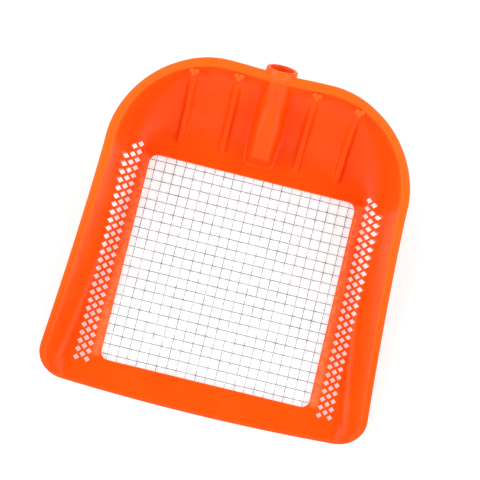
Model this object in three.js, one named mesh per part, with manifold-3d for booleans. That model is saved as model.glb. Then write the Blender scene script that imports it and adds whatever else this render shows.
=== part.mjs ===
// Beach sand scoop: an orange plastic pan with a sifting window of woven wire.
// Millimetres, +Z up. The digging lip points to -Y and the handle socket to +Y.
// The design is laid out from the window's centre; the last lines move the origin
// to the bottom centre of the whole scoop.
import * as THREE from 'three';
import { mergeVertices } from 'three/addons/utils/BufferGeometryUtils.js';
import Module from 'manifold-3d';

const wasm = await Module();
wasm.setup();

// ---------------------------------------------------------------- driving dimensions

// Wire mesh
const MESH_PITCH = 10;
const WIRES_EACH_WAY = 21;
const WIRE_DIAMETER = 0.9;
const WIRE_SIDES = 8;
const WIRE_LAYER_GAP = 0.3;
const WIRE_CLEARANCE = 0.3;
const WIRE_LENGTH = 226;

// Floor and walls
const FLOOR_TOP = 4.2;
const WALL_THICKNESS = 3;
const FLANGE_THICKNESS = 3.2;
const MESH_LEVEL = FLOOR_TOP / 2;

// Window in the floor
const WINDOW_HALF_X = 106.7;
const WINDOW_HALF_Y = 105.7;
const WINDOW_CORNER = 8;
const CUT_BELOW = 10;
const CUT_HEIGHT = 60;

// Rim outline in plan, right half
const REAR_Y = 200.6;
const REAR_SAG = 1.3;
const REAR_STRAIGHT_X = 50.8;
const REAR_CORNER = 97.2;
const SIDE_FRONT_Y = -102.7;
const SIDE_SPREAD = 15.5;
const SIDE_BOW = 1.25;
const FRONT_CORNER = 28.5;
const LIP_Y = -137.7;
const LIP_END_TILT = 3;

// Rim flange, wall height and wall slope
const FLANGE_REAR = 9;
const FLANGE_FRONT = 6.5;
const EDGE_MIN = 3.2;
const RIM_DROP = 0.8;
const LIP_BEVEL = 2;
const WALL_REAR = 67.9;
const WALL_SIDE = 61;
const WALL_FRONT = 23;
const WALL_CORNER_KEEP = 0.6;
const WALL_FADE = 10;
const SLOPE_REAR = 76;
const SLOPE_SIDE = 80;
const SLOPE_FRONT = 72;

// Edge of the flat floor, right half
const FLOOR_REAR_Y = 107;
const FAN_X = 97;
const FLOOR_SIDE_X = 110;
const FLOOR_SPREAD = 30;
const FLOOR_BOW = 0.9;
const LIP_BAND = 6;

// Sifting holes: square, turned by 45 degrees, in three columns on each side
const HOLE_SIDE = 4.4;
const HOLE_PITCH = 8.2;
const HOLE_FIRST_Y = -109.5;
const HOLE_COLUMNS = [
  { x: 118.6, shift: 0, count: 28 },
  { x: 124.1, shift: 0.5, count: 27 },
  { x: 129.5, shift: 0, count: 26 },
];

// Handle socket
const SOCKET_RISE = 28;
const SOCKET_MOUTH_Y = 206.1;
const SOCKET_MOUTH_Z = 65;
const SOCKET_LENGTH = 108;
const SOCKET_MOUTH_R = 15.5;
const SOCKET_NOSE_R = 10.4;
const MOUTH_CHAMFER = 0.8;
const NOSE_Y = 122;
const NOSE_LEAN = 4;
const COLLAR_LENGTH = 8;
const COLLAR_STEP = 0.8;
const BORE_MOUTH_R = 12;
const BORE_END_R = 11;
const BORE_DEPTH = 80;
const BORE_END_INSET = 2.6;
const BORE_LEAD = 5;
const SOCKET_SIDES = 20;

// Drafted web under the socket; it narrows in plan towards the nose
const WEB_STEPS = 6;
const WEB_AHEAD = 6;
const WEB_REAR_Y = 179;
const WEB_DRAFT = 16;
const WEB_NOSE_HALF = 11.6;
const WEB_TAPER = 0.26;
const WEB_TOP_INSET = 0.4;
const WEB_MARGIN = 0.5;

// Ribs on the rear wall, and the two-lobed bump above each
const RIB_X = [38.5, 81.5];
const RIB_HALF_BASE = 5;
const RIB_HALF_CROWN = 2.6;
const RIB_HEIGHT = 4.2;
const RIB_FROM = 0.15;
const RIB_TO = 0.97;
const RIB_STEPS = 10;
const RIB_RISE_STEEPNESS = 9;
const RIB_FADE_STEEPNESS = 2.4;
const RIB_END_NARROWING = 1.5;
const RIB_SKIN = 0.05;
const ROOT_DEPTH = 1.6;
const BUMP_R = 2.9;
const BUMP_SPREAD = 2.3;
const BUMP_REACH = 3.2;
const BUMP_BELOW_RIM = 3.8;
const POINT_R = 2.4;
const POINT_REACH = 6;

// ---------------------------------------------------------------- materials

const orangePlastic = new THREE.MeshStandardMaterial({
  color: 0xfe500c,
  roughness: 0.3,
  metalness: 0,
});
const galvanisedWire = new THREE.MeshStandardMaterial({
  color: 0x9a9c9e,
  roughness: 0.4,
  metalness: 0.9,
});

// ---------------------------------------------------------------- small helpers

const radians = THREE.MathUtils.degToRad;
const mix = THREE.MathUtils.lerp;
const clamp = THREE.MathUtils.clamp;

function toSolid(geometry) {
  const bare = geometry.clone();
  bare.deleteAttribute('normal');
  bare.deleteAttribute('uv');
  const merged = mergeVertices(bare, 1e-4);
  const vertProperties = new Float32Array(merged.attributes.position.array);
  const triVerts = new Uint32Array(merged.index.array);
  return new wasm.Manifold(new wasm.Mesh({ numProp: 3, vertProperties, triVerts }));
}

function toGeometry(solid) {
  const mesh = solid.getMesh();
  const geometry = new THREE.BufferGeometry();
  geometry.setAttribute('position', new THREE.BufferAttribute(mesh.vertProperties, 3));
  geometry.setIndex(new THREE.BufferAttribute(mesh.triVerts, 1));
  return geometry;
}

// Closed body through equal rings of points, capped with a fan at both ends. Seen
// along the way the rings advance, each ring runs clockwise.
function loft(rings) {
  const size = rings[0].length;
  const positions = rings.flat().flatMap((p) => [p.x, p.y, p.z]);
  const index = [];
  for (let i = 0; i + 1 < rings.length; i += 1) {
    for (let j = 0; j < size; j += 1) {
      const next = (j + 1) % size;
      const a = i * size + j;
      const b = i * size + next;
      index.push(a, a + size, b, b, a + size, b + size);
    }
  }
  const last = (rings.length - 1) * size;
  for (let j = 1; j + 1 < size; j += 1) {
    index.push(0, j, j + 1, last, last + j + 1, last + j);
  }
  const geometry = new THREE.BufferGeometry();
  geometry.setAttribute('position', new THREE.Float32BufferAttribute(positions, 3));
  geometry.setIndex(index);
  return geometry;
}

// ---------------------------------------------------------------- plan outlines

const rearCornerY = REAR_Y - REAR_CORNER;
const sideRearX = REAR_STRAIGHT_X + REAR_CORNER;
const sideSpan = rearCornerY - SIDE_FRONT_Y;
const sideSlope = Math.atan((SIDE_SPREAD * SIDE_BOW) / sideSpan);
const frontCentre = {
  x: sideRearX + SIDE_SPREAD - FRONT_CORNER * Math.cos(sideSlope),
  y: SIDE_FRONT_Y - FRONT_CORNER * Math.sin(sideSlope),
};

// A station is one cut through the pan, square to the rim: the flat floor's edge,
// the wall's crest, the rim's outer edge, the wall's height and its slope at the crest.
function station(floor, crest, rim, height, slope) {
  return { floor, crest, rim, height, slope: radians(slope) };
}

// Rear wall: cuts run straight to the rear as far as FAN_X, then fan round the corner.
function rearStation(x) {
  const sag = REAR_SAG * Math.cos((Math.PI / 2) * (x / REAR_STRAIGHT_X)) ** 2;
  const y = REAR_Y - sag;
  return station(
    { x, y: FLOOR_REAR_Y },
    { x, y: y - FLANGE_REAR },
    { x, y },
    WALL_REAR,
    SLOPE_REAR,
  );
}

const crestCorner = REAR_CORNER - FLANGE_REAR;
const fanStart = Math.asin((FAN_X - REAR_STRAIGHT_X) / crestCorner);

function rearCornerStation(angle) {
  const sin = Math.sin(angle);
  const cos = Math.cos(angle);
  const share = angle / (Math.PI / 2);
  const crest = {
    x: REAR_STRAIGHT_X + crestCorner * sin,
    y: rearCornerY + crestCorner * cos,
  };
  const rim = {
    x: REAR_STRAIGHT_X + REAR_CORNER * sin,
    y: rearCornerY + REAR_CORNER * cos,
  };
  const fan = clamp((angle - fanStart) / (Math.PI / 2 - fanStart), 0, 1) * (Math.PI / 2);
  const floor = angle <= fanStart
    ? { x: crest.x, y: FLOOR_REAR_Y }
    : {
      x: FAN_X + (FLOOR_SIDE_X - FAN_X) * Math.sin(fan),
      y: rearCornerY + (FLOOR_REAR_Y - rearCornerY) * Math.cos(fan),
    };
  const height = mix(WALL_REAR, WALL_SIDE, share ** 2);
  return station(floor, crest, rim, height, mix(SLOPE_REAR, SLOPE_SIDE, share));
}

function sideStation(share) {
  const y = mix(rearCornerY, SIDE_FRONT_Y, share);
  const rim = { x: sideRearX + SIDE_SPREAD * share ** SIDE_BOW, y };
  const crest = { x: rim.x - mix(FLANGE_REAR, FLANGE_FRONT, share), y };
  const floor = { x: FLOOR_SIDE_X + FLOOR_SPREAD * share ** FLOOR_BOW, y };
  const height = mix(WALL_FRONT, WALL_SIDE, (1 - share) ** 1.15);
  return station(floor, crest, rim, height, mix(SLOPE_SIDE, SLOPE_FRONT, share));
}

// Front corner: the wall is cut off by the corner's arc, so its height runs out there.
const creaseX = FLOOR_SIDE_X + FLOOR_SPREAD;
const frontStart = { angle: sideSlope, crestX: sideRearX + SIDE_SPREAD - FLANGE_FRONT };
const frontEnd = -Math.PI / 2 + radians(LIP_END_TILT);

function frontCornerStation(share) {
  const angle = mix(frontStart.angle, frontEnd, share);
  const flange = mix(FLANGE_FRONT, EDGE_MIN, share);
  const out = { x: Math.cos(angle), y: Math.sin(angle) };
  const rim = {
    x: frontCentre.x + FRONT_CORNER * out.x,
    y: frontCentre.y + FRONT_CORNER * out.y,
  };
  const crest = { x: rim.x - flange * out.x, y: rim.y - flange * out.y };
  const beyond = Math.max(0, crest.x - creaseX);
  const wallWidth = clamp(beyond / out.x, LIP_BAND, frontStart.crestX - creaseX);
  const floor = { x: crest.x - wallWidth * out.x, y: crest.y - wallWidth * out.y };
  const cutOff = beyond / (frontStart.crestX - creaseX);
  const height = WALL_FRONT * cutOff * mix(1, WALL_CORNER_KEEP, share);
  return station(floor, crest, rim, height, SLOPE_FRONT);
}

const lipEnd = {
  x: frontCentre.x + FRONT_CORNER * Math.cos(frontEnd),
  y: frontCentre.y + FRONT_CORNER * Math.sin(frontEnd),
};

function lipStation(x) {
  const y = LIP_Y + (lipEnd.y - LIP_Y) * (x / lipEnd.x) ** 2;
  return station(
    { x, y: y + EDGE_MIN + LIP_BAND },
    { x, y: y + EDGE_MIN },
    { x, y },
    0,
    SLOPE_FRONT,
  );
}

function halfStations() {
  const list = [0, 24, REAR_STRAIGHT_X].map(rearStation);
  for (let i = 1; i <= 3; i += 1) {
    list.push(rearCornerStation((fanStart * i) / 3));
  }
  for (let i = 1; i <= 6; i += 1) {
    list.push(rearCornerStation(mix(fanStart, Math.PI / 2, i / 6)));
  }
  for (let i = 1; i <= 4; i += 1) {
    list.push(sideStation(i / 4));
  }
  for (let i = 1; i <= 6; i += 1) {
    list.push(frontCornerStation(i / 6));
  }
  [0.66, 0.33, 0].forEach((share) => list.push(lipStation(lipEnd.x * share)));
  return list;
}

function mirrored(cut) {
  const flip = (p) => ({ x: -p.x, y: p.y });
  return {
    ...cut,
    floor: flip(cut.floor),
    crest: flip(cut.crest),
    rim: flip(cut.rim),
  };
}

// ---------------------------------------------------------------- pan section

const ARC_STEPS = 5;

// Inner face of one cut at angle phi of its fillet: distance from the floor's edge,
// height above the floor and the face's slope there.
function wallFace(cut, phi) {
  const width = Math.hypot(cut.crest.x - cut.floor.x, cut.crest.y - cut.floor.y);
  const shapeHeight = Math.max(cut.height, WALL_FADE);
  const squash = cut.height / shapeHeight;
  const radius = (width * Math.sin(cut.slope) - shapeHeight * Math.cos(cut.slope))
    / (1 - Math.cos(cut.slope));
  return {
    out: radius * Math.sin(phi),
    up: radius * (1 - Math.cos(phi)) * squash,
    slope: Math.atan(Math.tan(phi) * squash),
    width,
    squash,
  };
}

function sectionRing(cut) {
  const { width, squash } = wallFace(cut, 0);
  const direction = {
    x: (cut.crest.x - cut.floor.x) / width,
    y: (cut.crest.y - cut.floor.y) / width,
  };
  const place = (out, up) => new THREE.Vector3(
    cut.floor.x + direction.x * out,
    cut.floor.y + direction.y * out,
    FLOOR_TOP + up,
  );
  const crestThickness = mix(FLOOR_TOP, WALL_THICKNESS, squash);
  const inner = [];
  const outer = [];
  for (let i = 0; i <= ARC_STEPS; i += 1) {
    const face = wallFace(cut, (cut.slope * i) / ARC_STEPS);
    const thickness = mix(FLOOR_TOP, crestThickness, i / ARC_STEPS);
    inner.push(place(face.out, face.up));
    outer.push(place(
      face.out + thickness * Math.sin(face.slope),
      face.up - thickness * Math.cos(face.slope),
    ));
  }
  const topSlope = Math.atan(Math.tan(cut.slope) * squash);
  const below = Math.max(0, FLANGE_THICKNESS - crestThickness * Math.cos(topSlope));
  const lowered = below > 0 ? below / Math.tan(topSlope) : 0;
  const underUp = cut.height - crestThickness * Math.cos(topSlope) - below;
  const underside = place(width + crestThickness * Math.sin(topSlope) - lowered, underUp);
  const drop = mix(LIP_BEVEL, RIM_DROP, squash);
  const rimTop = new THREE.Vector3(cut.rim.x, cut.rim.y, FLOOR_TOP + cut.height - drop);
  const rimBottom = new THREE.Vector3(cut.rim.x, cut.rim.y, FLOOR_TOP + underUp);
  return [...inner, place(width, cut.height), rimTop, rimBottom, underside, ...outer.reverse()];
}

function panGeometry() {
  const half = halfStations();
  const left = half.slice(1, -1).map(mirrored).reverse();
  const cuts = [...half, ...left];
  const rings = cuts.map(sectionRing);
  const size = rings[0].length;
  const positions = rings.flat().flatMap((p) => [p.x, p.y, p.z]);
  const index = [];
  rings.forEach((ring, i) => {
    const base = i * size;
    const following = ((i + 1) % rings.length) * size;
    for (let j = 0; j + 1 < size; j += 1) {
      index.push(base + j, following + j, base + j + 1);
      index.push(base + j + 1, following + j, following + j + 1);
    }
  });
  const outline = cuts.map((cut) => new THREE.Vector2(cut.floor.x, cut.floor.y));
  THREE.ShapeUtils.triangulateShape(outline, []).forEach((face) => {
    const clockwise = THREE.ShapeUtils.isClockWise(face.map((i) => outline[i]));
    const [a, b, c] = clockwise ? face.toReversed() : face;
    index.push(a * size, b * size, c * size);
    index.push(a * size + size - 1, c * size + size - 1, b * size + size - 1);
  });
  const geometry = new THREE.BufferGeometry();
  geometry.setAttribute('position', new THREE.Float32BufferAttribute(positions, 3));
  geometry.setIndex(index);
  return geometry;
}

// ---------------------------------------------------------------- openings in the pan

function windowCutter() {
  const x = WINDOW_HALF_X - WINDOW_CORNER;
  const y = WINDOW_HALF_Y - WINDOW_CORNER;
  const shape = new THREE.Shape();
  shape.absarc(x, y, WINDOW_CORNER, 0, Math.PI / 2);
  shape.absarc(-x, y, WINDOW_CORNER, Math.PI / 2, Math.PI);
  shape.absarc(-x, -y, WINDOW_CORNER, Math.PI, Math.PI * 1.5);
  shape.absarc(x, -y, WINDOW_CORNER, Math.PI * 1.5, Math.PI * 2);
  const cutter = new THREE.ExtrudeGeometry(shape, {
    depth: CUT_HEIGHT,
    bevelEnabled: false,
    curveSegments: 5,
  });
  return cutter.translate(0, 0, -CUT_BELOW);
}

function siftingHoleCutters() {
  const cutters = [];
  HOLE_COLUMNS.forEach((column) => {
    for (let i = 0; i < column.count; i += 1) {
      const y = HOLE_FIRST_Y + HOLE_PITCH * (i + column.shift);
      [-1, 1].forEach((side) => {
        const cutter = new THREE.BoxGeometry(HOLE_SIDE, HOLE_SIDE, CUT_HEIGHT);
        cutter.rotateZ(Math.PI / 4);
        cutters.push(cutter.translate(side * column.x, y, 0));
      });
    }
  });
  return cutters;
}

// Each wire's two ends lie in a pocket of the floor, a clearance away on every side.
const pocketWidth = WIRE_DIAMETER + 2 * WIRE_CLEARANCE;
const layerOffset = (WIRE_DIAMETER + WIRE_LAYER_GAP) / 2;

function wirePositions() {
  const half = (WIRES_EACH_WAY - 1) / 2;
  return Array.from({ length: WIRES_EACH_WAY }, (_, i) => (i - half) * MESH_PITCH);
}

function pocketCutters() {
  const length = WIRE_LENGTH + 2 * WIRE_CLEARANCE;
  const cutters = [];
  wirePositions().forEach((at) => {
    const along = new THREE.BoxGeometry(pocketWidth, length, pocketWidth);
    cutters.push(along.translate(at, 0, MESH_LEVEL + layerOffset));
    const across = new THREE.BoxGeometry(length, pocketWidth, pocketWidth);
    cutters.push(across.translate(0, at, MESH_LEVEL - layerOffset));
  });
  return cutters;
}

// ---------------------------------------------------------------- handle socket

const rise = radians(SOCKET_RISE);
const socketAxis = new THREE.Vector3(0, Math.cos(rise), Math.sin(rise));
const socketMouth = new THREE.Vector3(0, SOCKET_MOUTH_Y, SOCKET_MOUTH_Z);

// Turns a lathe made along +Y from the mouth (negative = into the socket) to its place.
function placeOnSocket(geometry) {
  return geometry.rotateX(rise).translate(0, SOCKET_MOUTH_Y, SOCKET_MOUTH_Z);
}

function lathe(points) {
  const profile = points.map(([r, y]) => new THREE.Vector2(r, y));
  return new THREE.LatheGeometry(profile, SOCKET_SIDES);
}

function tubeRadius(depth) {
  const share = depth / SOCKET_LENGTH;
  return mix(SOCKET_MOUTH_R - COLLAR_STEP, SOCKET_NOSE_R, share);
}

function socketBody() {
  return placeOnSocket(lathe([
    [0, -SOCKET_LENGTH],
    [SOCKET_NOSE_R, -SOCKET_LENGTH],
    [tubeRadius(COLLAR_LENGTH + COLLAR_STEP), -COLLAR_LENGTH - COLLAR_STEP],
    [SOCKET_MOUTH_R, -COLLAR_LENGTH],
    [SOCKET_MOUTH_R, -MOUTH_CHAMFER],
    [SOCKET_MOUTH_R - MOUTH_CHAMFER, 0],
    [0, 0],
  ]));
}

function socketBore() {
  return placeOnSocket(lathe([
    [0, -BORE_DEPTH],
    [BORE_END_R - BORE_END_INSET, -BORE_DEPTH],
    [BORE_END_R, -BORE_DEPTH + BORE_END_INSET],
    [BORE_MOUTH_R, 0],
    [BORE_MOUTH_R, BORE_LEAD],
    [0, BORE_LEAD],
  ]));
}

// Drafted web between the tube and the rear wall.
function socketWeb() {
  const rings = [];
  for (let i = 0; i <= WEB_STEPS; i += 1) {
    const y = mix(NOSE_Y - WEB_AHEAD, WEB_REAR_Y, i / WEB_STEPS);
    const depth = (socketMouth.y - y) / socketAxis.y;
    const top = socketMouth.z - socketAxis.z * depth;
    const bottom = rearWallTop(y) - ROOT_DEPTH;
    const topHalf = tubeRadius(depth) - WEB_TOP_INSET;
    const drafted = topHalf + (top - bottom) * Math.tan(radians(WEB_DRAFT));
    const tapered = WEB_NOSE_HALF + WEB_TAPER * Math.max(0, y - NOSE_Y);
    const bottomHalf = Math.max(topHalf + WEB_MARGIN, Math.min(drafted, tapered));
    rings.push([
      new THREE.Vector3(-bottomHalf, y, bottom),
      new THREE.Vector3(bottomHalf, y, bottom),
      new THREE.Vector3(topHalf, y, top),
      new THREE.Vector3(-topHalf, y, top),
    ]);
  }
  return loft(rings);
}

// Everything in front of the nose's nearly upright face.
function noseCutter() {
  const size = 60;
  const axisHeight = socketMouth.z - (socketMouth.y - NOSE_Y) * Math.tan(rise);
  const crown = axisHeight + SOCKET_NOSE_R / Math.cos(rise);
  const block = new THREE.BoxGeometry(size * 2, size, size * 3);
  block.translate(0, -size / 2, 0).rotateX(-radians(NOSE_LEAN));
  return block.translate(0, NOSE_Y, crown);
}

// The tube and its web, cut off by the nose's face.
function socketSolid() {
  return toSolid(socketBody()).add(toSolid(socketWeb())).subtract(toSolid(noseCutter()));
}

// Height of the rear wall's inner face in the symmetry plane.
function rearWallTop(y) {
  const cut = rearStation(0);
  const out = y - FLOOR_REAR_Y;
  const { width } = wallFace(cut, 0);
  const radius = wallFace(cut, Math.PI / 2).out;
  const phi = Math.asin(clamp(out / radius, 0, Math.sin(cut.slope)));
  const rest = Math.max(0, out - radius * Math.sin(cut.slope));
  const height = radius * (1 - Math.cos(phi)) + rest * Math.tan(cut.slope);
  return FLOOR_TOP + (out < width ? height : cut.height);
}

// ---------------------------------------------------------------- ribs and bumps

function rearCut(x) {
  const offset = Math.abs(x);
  if (offset <= REAR_STRAIGHT_X) {
    return rearStation(offset);
  }
  return rearCornerStation(Math.asin((offset - REAR_STRAIGHT_X) / crestCorner));
}

// A point at a share of the rear wall's slope angle, raised square to its inner face.
function wallPoint(x, share, amount) {
  const cut = rearCut(x);
  const face = wallFace(cut, cut.slope * share);
  return new THREE.Vector3(
    x,
    cut.floor.y + face.out - amount * Math.sin(face.slope),
    FLOOR_TOP + face.up + amount * Math.cos(face.slope),
  );
}

function ribGeometry(x) {
  const rings = [];
  for (let i = 0; i <= RIB_STEPS; i += 1) {
    const along = i / RIB_STEPS;
    const share = mix(RIB_FROM, RIB_TO, along);
    const risen = Math.min(1, along * RIB_RISE_STEEPNESS);
    const swell = Math.min(risen, (1 - along) * RIB_FADE_STEEPNESS);
    const height = RIB_HEIGHT * Math.sin((Math.PI / 2) * swell) + RIB_SKIN;
    const base = RIB_HALF_BASE - (1 - risen) * RIB_END_NARROWING;
    rings.push([
      wallPoint(x - base, share, -ROOT_DEPTH),
      wallPoint(x + base, share, -ROOT_DEPTH),
      wallPoint(x + RIB_HALF_CROWN, share, height),
      wallPoint(x - RIB_HALF_CROWN, share, height),
    ]);
  }
  return loft(rings);
}

// Two lobes against the wall just under the rim, and a smaller one in front of them.
function bumpGeometries(x) {
  const cut = rearCut(x);
  const z = FLOOR_TOP + cut.height - BUMP_BELOW_RIM;
  const lobe = (radius, shift, reach) => {
    const ball = new THREE.SphereGeometry(radius, 8, 6);
    return ball.translate(x + shift, cut.crest.y - reach, z);
  };
  return [
    lobe(BUMP_R, -BUMP_SPREAD, BUMP_REACH),
    lobe(BUMP_R, BUMP_SPREAD, BUMP_REACH),
    lobe(POINT_R, 0, POINT_REACH),
  ];
}

// ---------------------------------------------------------------- the moulding

function scoopShell() {
  const sides = [-1, 1];
  let shell = toSolid(panGeometry()).add(socketSolid());
  const added = [];
  RIB_X.forEach((x) => sides.forEach((side) => {
    added.push(ribGeometry(side * x), ...bumpGeometries(side * x));
  }));
  added.forEach((piece) => {
    shell = shell.add(toSolid(piece));
  });
  const cut = [windowCutter(), socketBore(), ...siftingHoleCutters(), ...pocketCutters()];
  cut.forEach((piece) => {
    shell = shell.subtract(toSolid(piece));
  });
  return toGeometry(shell);
}

// ---------------------------------------------------------------- assembly

const scoop = new THREE.Group();

const shell = new THREE.Mesh(scoopShell(), orangePlastic);
shell.name = 'scoop_shell';
scoop.add(shell);

function wire(name, x, y, z, turn) {
  const geometry = new THREE.CylinderGeometry(
    WIRE_DIAMETER / 2,
    WIRE_DIAMETER / 2,
    WIRE_LENGTH,
    WIRE_SIDES,
  );
  const mesh = new THREE.Mesh(geometry, galvanisedWire);
  mesh.name = name;
  mesh.position.set(x, y, z);
  mesh.rotation.z = turn;
  return mesh;
}

wirePositions().forEach((at, i) => {
  const number = String(i + 1).padStart(2, '0');
  scoop.add(wire(`warp_wire_${number}`, at, 0, MESH_LEVEL + layerOffset, 0));
  scoop.add(wire(`weft_wire_${number}`, 0, at, MESH_LEVEL - layerOffset, Math.PI / 2));
});

// The origin sits under the middle of the bounding box, whose rear edge is the
// lowest point of the socket's mouth and whose front edge is the lip.
const rearmost = SOCKET_MOUTH_Y + (SOCKET_MOUTH_R - MOUTH_CHAMFER) * Math.sin(rise);
scoop.position.y = -(rearmost + LIP_Y) / 2;

export default scoop;
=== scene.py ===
"""Looks of the beach sand scoop: the orange moulding, the woven mesh and a pale studio.

Lengths are in millimetres, laid out from the window's centre as the CAD is, and
turned into metres in the shared frame when a mesh is made.
"""
import math

import bmesh
import bpy
import numpy as np
from mathutils import Matrix, Vector, noise


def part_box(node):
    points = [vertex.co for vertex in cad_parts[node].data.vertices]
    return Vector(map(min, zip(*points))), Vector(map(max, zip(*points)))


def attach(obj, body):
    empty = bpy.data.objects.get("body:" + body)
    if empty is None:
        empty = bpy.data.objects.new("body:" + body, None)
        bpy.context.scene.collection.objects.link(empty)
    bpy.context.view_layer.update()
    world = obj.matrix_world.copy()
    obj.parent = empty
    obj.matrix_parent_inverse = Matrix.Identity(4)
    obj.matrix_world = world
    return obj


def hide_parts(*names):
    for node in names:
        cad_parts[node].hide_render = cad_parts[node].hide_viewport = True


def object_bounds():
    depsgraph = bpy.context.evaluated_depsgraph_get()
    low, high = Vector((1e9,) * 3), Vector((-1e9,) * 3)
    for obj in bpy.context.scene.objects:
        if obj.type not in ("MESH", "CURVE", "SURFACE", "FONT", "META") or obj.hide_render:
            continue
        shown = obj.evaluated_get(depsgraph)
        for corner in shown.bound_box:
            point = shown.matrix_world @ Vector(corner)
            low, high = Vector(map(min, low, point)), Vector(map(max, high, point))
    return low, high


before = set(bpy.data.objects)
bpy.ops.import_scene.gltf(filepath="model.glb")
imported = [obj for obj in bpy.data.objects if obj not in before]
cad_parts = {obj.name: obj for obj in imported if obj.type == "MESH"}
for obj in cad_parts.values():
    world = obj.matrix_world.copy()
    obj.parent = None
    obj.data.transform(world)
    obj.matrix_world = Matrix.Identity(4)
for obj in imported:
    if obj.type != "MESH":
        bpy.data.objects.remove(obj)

CAD_LOW, CAD_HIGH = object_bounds()

# ------------------------------------------------------------------ the frame

MM = 0.001
MIDDLE_WARP_LOW, MIDDLE_WARP_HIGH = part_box("warp_wire_11")
MIDDLE_WEFT_LOW, MIDDLE_WEFT_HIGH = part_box("weft_wire_11")
WINDOW_CENTRE = np.array([
    (MIDDLE_WARP_LOW.x + MIDDLE_WARP_HIGH.x) / 2,
    (MIDDLE_WEFT_LOW.y + MIDDLE_WEFT_HIGH.y) / 2,
    CAD_LOW.z,
])


def to_frame(points):
    """Millimetres from the window's centre, to metres in the shared frame."""
    return np.asarray(points, float) * MM + WINDOW_CENTRE


# ------------------------------------------------------------------ driving dimensions

MESH_PITCH = 10.0
WIRES_EACH_WAY = 21
WIRE_RADIUS = 0.45
WIRE_HALF_LENGTH = 113.0
WIRE_WAVE = 0.47
WIRE_STRAY = 0.10
WIRE_STRAY_PER_MM = 0.045
WIRE_SIDES = 8
WIRE_RINGS_PER_CELL = 8

FLOOR_TOP = 4.2
MESH_LEVEL = FLOOR_TOP / 2
WALL_THICKNESS = 3.0
FLANGE_THICKNESS = 3.2

WINDOW_HALF = (106.7, 105.7)
WINDOW_CORNER = 8.0
WINDOW_CORNER_POINTS = 10
# Each level of the window's wall: height, and how far it is flared outwards.
WINDOW_LEVELS = (
    (-8.0, 0.0), (FLOOR_TOP - 0.7, 0.0), (FLOOR_TOP - 0.2, 0.25), (FLOOR_TOP, 0.8),
    (FLOOR_TOP + 3, 4.0),
)

REAR_Y = 200.6
REAR_SAG = 1.3
REAR_STRAIGHT_X = 50.8
REAR_CORNER = 97.2
SIDE_FRONT_Y = -102.7
SIDE_SPREAD = 15.5
SIDE_BOW = 1.25
FRONT_CORNER = 28.5
LIP_Y = -137.7
LIP_END_TILT = math.radians(3)

FLANGE_REAR = 9.0
FLANGE_FRONT = 6.5
EDGE_MIN = 3.2
RIM_DROP = 0.8
CREST_ROUND_REAR = 2.4
CREST_ROUND_FRONT = 5.5
LIP_BEVEL = 2.0
# Rounding of the rim's top outer edge, its lower edge and the root under it.
RIM_ROUNDS = (1.3, 1.0, 1.5)
WALL_REAR = 67.9
WALL_SIDE = 61.0
WALL_FRONT = 23.0
WALL_FALL = 1.15
WALL_CORNER_KEEP = 0.6
WALL_FADE = 10.0
SLOPE_REAR = math.radians(76)
SLOPE_SIDE = math.radians(78)
SLOPE_FRONT = math.radians(62)

FLOOR_REAR_Y = 107.0
FAN_X = 97.0
FLOOR_SIDE_X = 110.0
FLOOR_SPREAD = 28.0
FLOOR_BOW = 0.9
LIP_BAND = 6.0

HOLE_SIDE = 4.4
HOLE_PITCH = 8.2
HOLE_FIRST_Y = -109.5
# Each column of holes on one side: distance from the middle, shift in pitches, count.
HOLE_COLUMNS = ((118.6, 0.0, 28), (124.1, 0.5, 27), (129.5, 0.0, 26))
HOLE_CUT_FROM = -10
HOLE_CUT_TO = 40

SOCKET_RISE = math.radians(28)
SOCKET_MOUTH = np.array([0.0, 206.1, 65.0])
SOCKET_LENGTH = 108.0
SOCKET_MOUTH_R = 15.5
SOCKET_NOSE_R = 10.4
MOUTH_CHAMFER = 0.8
COLLAR_LENGTH = 8.0
COLLAR_STEP = 0.8
BORE_MOUTH_R = 12.0
BORE_END_R = 11.0
BORE_DEPTH = 80.0
TUBE_SINK = 1.6
TUBE_SINK_FROM = 24
TUBE_END = 58
TUBE_RINGS = 22
LATHE_SEGMENTS = 96
NOSE_BASE_Y = 120.6
NOSE_CORNER = 3.5
NOSE_DRAFT = math.radians(4)
NOSE_HALF = 12.6
WEB_DRAFT = math.radians(16)
WEB_TAPER = 0.08
WEB_FILLET = 4.2
WEB_SINK = 0.9
WEB_SINK_Y = (150, 172)
WEB_FADE_Y = (182, 190)
WEB_MIN_FLANK = 0.8
WEB_HALF_BLEND = 3.0
NOSE_TURN = 3
NOSE_EDGE_ROUND = 5.0
CROWN_EDGE_ROUND = 2.2
CROWN_SQUARENESS = 3.4
CROWN_ROUND_Y = (146, 174)

RIB_X = (38.5, 81.5)
RIB_HALF_BASE = 5.3
RIB_HALF_CROWN = 1.7
RIB_HEIGHT = 4.0
RIB_START = 13.0
RIB_END = 108.0
RIB_FADE = 60.0
RIB_EDGE_SHARE = 0.04
BUMP_RADIUS = 2.9
BUMP_SPREAD = 2.3
BUMP_REACH = 3.2
BUMP_BELOW_RIM = 3.8
POINT_RADIUS = 2.4
POINT_REACH = 6.0
LOBE_RINGS = 15
LOBE_SEGMENTS = 28
LOBE_STRETCH_UP = 0.9
LOBE_STRETCH_DOWN = 1.7

BEAD_ROWS = 420
BEAD_COLUMNS = 22
BEAD_FRONT = -104.5
BEAD_REAR = 103.5
BEAD_END_FADE = 4
BEAD_INNER = 107.9
BEAD_OUTER = 113.2
BEAD_INNER_WAVE = 0.45
BEAD_OUTER_WAVE = (1.5, 0.7)
BEAD_LEAST_HEIGHT = 0.15
BEAD_PIT_DEPTH = 0.35
BEAD_ROOT = 0.25
BEAD_UNDERSIDE = 0.6

# Edges sharper than this, in degrees, stay crisp.
MOULDING_SMOOTH_ANGLE = 38
BEAD_SMOOTH_ANGLE = 60
WIRE_SMOOTH_ANGLE = 60

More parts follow.
